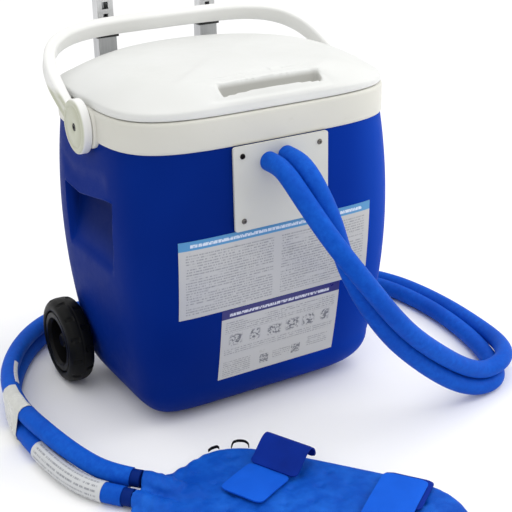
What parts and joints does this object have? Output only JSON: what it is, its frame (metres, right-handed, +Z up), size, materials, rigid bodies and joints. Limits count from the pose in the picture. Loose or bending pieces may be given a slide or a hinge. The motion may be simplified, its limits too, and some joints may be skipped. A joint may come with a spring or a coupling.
{
  "type": "hot and cold therapy machine",
  "caption": "Insulated cooler tub with a lid, bail handle, wheels and telescoping rails, and a twin foam-covered hose running to a quilted water pad.",
  "frame": {"origin": "centre of the tub's flat base, on the floor", "axes": "+Z up, front plate towards -Y, +X to the right seen from the front"},
  "size_m": [0.8021, 0.9458, 0.9785],
  "materials": {
    "axle_steel": "bright",
    "bail_white": "moulded, soft gloss",
    "bladder": "urethane film",
    "blue_shell": "moulded polyethylene, soft gloss",
    "bracket": "powder coat",
    "button_red": "moulded",
    "coupling_navy": "moulded",
    "elastic_black": "woven elastic",
    "fitting_dark": "moulded nylon",
    "foam": "rigid polyurethane foam",
    "gasket_black": "closed cell",
    "grip_black": "moulded",
    "hinge_white": "moulded",
    "hose_blue": "foam sleeve",
    "impeller_grey": "moulded",
    "label_dark": "printed film",
    "label_film": "printed film",
    "lead_black": "cable jacket",
    "lid_white": "moulded, soft gloss",
    "liner_white": "smooth moulded",
    "pad_blue": "coated nylon, welded",
    "plate_white": "moulded, soft gloss",
    "pump_black": "moulded",
    "rail_inner": "anodised, bright",
    "rail_outer": "anodised, satin",
    "rim_cream": "moulded, soft gloss",
    "screw_dark": "blackened",
    "screw_steel": "plated",
    "spring_steel": "bright",
    "strainer_grey": "moulded",
    "strap_blue": "brushed loop fabric",
    "strap_navy": "brushed loop fabric",
    "tag_white": "film",
    "tube_clear": "flexible vinyl",
    "wheel_hub": "moulded",
    "wheel_tyre": "moulded tread"
  },
  "bodies": {
    "cooler": {"outer_shell": "blue_shell", "foam_insulation": "foam", "inner_liner": "liner_white", "rim_collar": "rim_cream", "front_plate": "plate_white", "plate_gasket": "gasket_black", "plate_screws": "screw_dark", "bulkhead_fittings": "fitting_dark", "bulkhead_nuts": "fitting_dark", "upper_label": "label_film", "lower_label": "label_dark", "pump_housing": "pump_black", "pump_cover": "pump_black", "pump_strainer": "strainer_grey", "pump_feet": "gasket_black", "inner_supply_tube": "tube_clear", "inner_return_tube": "tube_clear", "tube_clamps": "screw_steel", "pump_lead": "lead_black", "power_inlet": "fitting_dark", "inlet_nut": "fitting_dark", "hinge_bases": "hinge_white", "hinge_pins": "axle_steel", "bail_screws": "screw_dark", "axle_left": "axle_steel", "axle_right": "axle_steel", "axle_screws": "screw_steel", "wheel_caps": "wheel_hub", "outer_rails": "rail_outer", "rail_collars": "grip_black", "rail_plugs": "grip_black", "upper_bracket": "bracket", "lower_bracket": "bracket", "bracket_screws": "screw_steel", "supply_hose": "hose_blue", "return_hose": "hose_blue", "hose_couplings": "coupling_navy", "hose_tag": "tag_white", "hose_label": "tag_white", "pad_cover": "pad_blue", "pad_bladder": "bladder", "strap_folded": "strap_navy", "strap_flat": "strap_blue", "elastic_ends": "elastic_black"},
    "lid": {"lid_shell": "lid_white", "lid_foam": "foam", "lid_liner": "liner_white", "lid_gasket": "gasket_black", "lid_hinge_leaves": "hinge_white"},
    "bail": {"bail_handle": "bail_white"},
    "wheel_left": {"wheel_left_hub": "wheel_hub", "wheel_left_tyre": "wheel_tyre"},
    "wheel_right": {"wheel_right_hub": "wheel_hub", "wheel_right_tyre": "wheel_tyre"},
    "trolley": {"inner_rails": "rail_inner", "trolley_grip": "grip_black", "button_spring": "spring_steel"},
    "button": {"grip_button": "button_red", "release_rods": "axle_steel"},
    "impeller": {"pump_impeller": "impeller_grey"}
  },
  "joints": [
    {"name": "lid_hinge", "type": "hinge", "parent": "cooler", "child": "lid", "pos_m": [0, 0.178, 0.468], "axis": [-1, 0, 0], "range_deg": [0, 14]},
    {"name": "bail_swing", "type": "hinge", "parent": "cooler", "child": "bail", "pos_m": [0, -0.018, 0.441], "axis": [1, 0, 0], "range_deg": [0, 145]},
    {"name": "wheel_left_spin", "type": "hinge", "parent": "cooler", "child": "wheel_left", "pos_m": [-0.228, 0.103, 0.067], "axis": [1, 0, 0], "continuous": true},
    {"name": "wheel_right_spin", "type": "hinge", "parent": "cooler", "child": "wheel_right", "pos_m": [0.228, 0.103, 0.067], "axis": [1, 0, 0], "continuous": true},
    {"name": "trolley_slide", "type": "slide", "parent": "cooler", "child": "trolley", "axis": [0, 0, 1], "range_m": [-0.395, 0]},
    {"name": "grip_button_press", "type": "slide", "parent": "trolley", "child": "button", "axis": [0, 0, -1], "range_m": [0, 0.004], "stiffness_N_per_m": 400, "springref_m": -0.006, "deforming": ["button_spring"]},
    {"name": "impeller_spin", "type": "hinge", "parent": "cooler", "child": "impeller", "pos_m": [-0.004, -0.058, 0.05], "axis": [0, 0, 1], "continuous": true}
  ]
}
